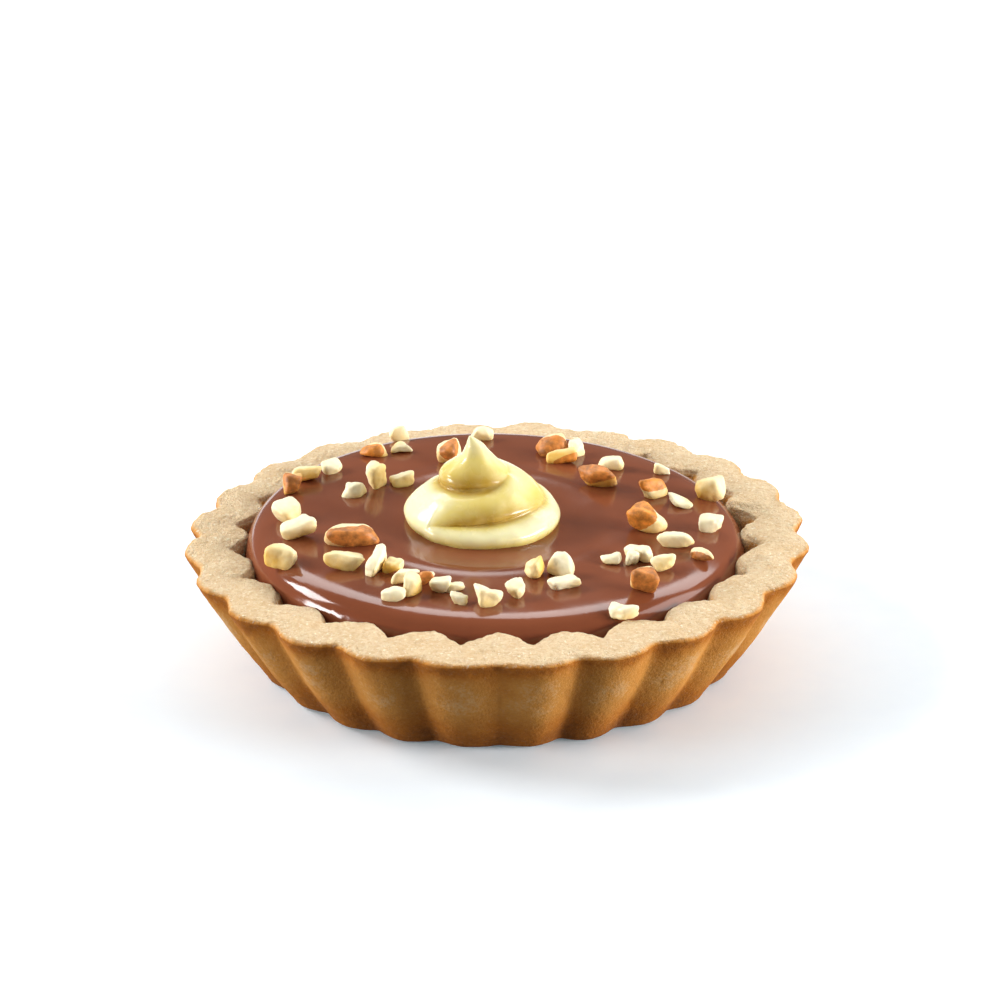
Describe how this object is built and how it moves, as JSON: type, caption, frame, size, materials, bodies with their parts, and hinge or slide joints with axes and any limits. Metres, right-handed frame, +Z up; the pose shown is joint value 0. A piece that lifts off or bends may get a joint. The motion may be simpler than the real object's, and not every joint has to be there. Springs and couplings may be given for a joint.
{
  "type": "chocolate tart",
  "caption": "Small round tart: a fluted shortcrust case filled with glossy domed chocolate and topped with a swirl of pale cream; it stands on its flat base.",
  "frame": {"origin": "centre of the flat underside of the pastry case, on the plane that the tart stands on", "axes": "+Z up out of the tart; +X to the right and -Y towards the viewer of the shown side"},
  "size_m": [0.0804, 0.0804, 0.0296],
  "materials": {
    "pastry": "matte baked shortcrust, sandy, toasted under the rim",
    "chocolate": "glossy milk chocolate",
    "cream": "smooth satin custard cream",
    "hazelnut": "matte chopped nut, pale with toasted edges"
  },
  "bodies": {
    "root": {"pastry_case": "pastry", "chocolate_filling": "chocolate", "cream_dollop": "cream"}
  },
  "joints": []
}
